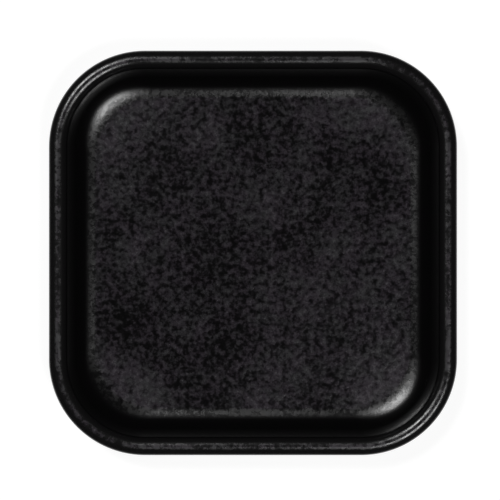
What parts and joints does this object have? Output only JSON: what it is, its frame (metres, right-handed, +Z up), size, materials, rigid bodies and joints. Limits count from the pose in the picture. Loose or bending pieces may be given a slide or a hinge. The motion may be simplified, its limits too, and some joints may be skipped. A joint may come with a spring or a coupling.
{
  "type": "square plate",
  "caption": "Small square stoneware plate with rounded corners, a rounded rim bead, a sloping inner wall, a flat well and a foot ring, glazed black.",
  "frame": {"origin": "centre of the plane that the foot ring stands on", "axes": "+Z up out of the well, +X along the slightly longer side, +Y along the other side"},
  "size_m": [0.15, 0.1486, 0.016],
  "materials": {
    "stoneware": "bare fired clay, matte",
    "black_glaze": "black satin glaze with a grey matte mottle"
  },
  "bodies": {
    "root": {"stoneware_body": "stoneware", "glaze_coat": "black_glaze", "base_glaze": "black_glaze"}
  },
  "joints": []
}
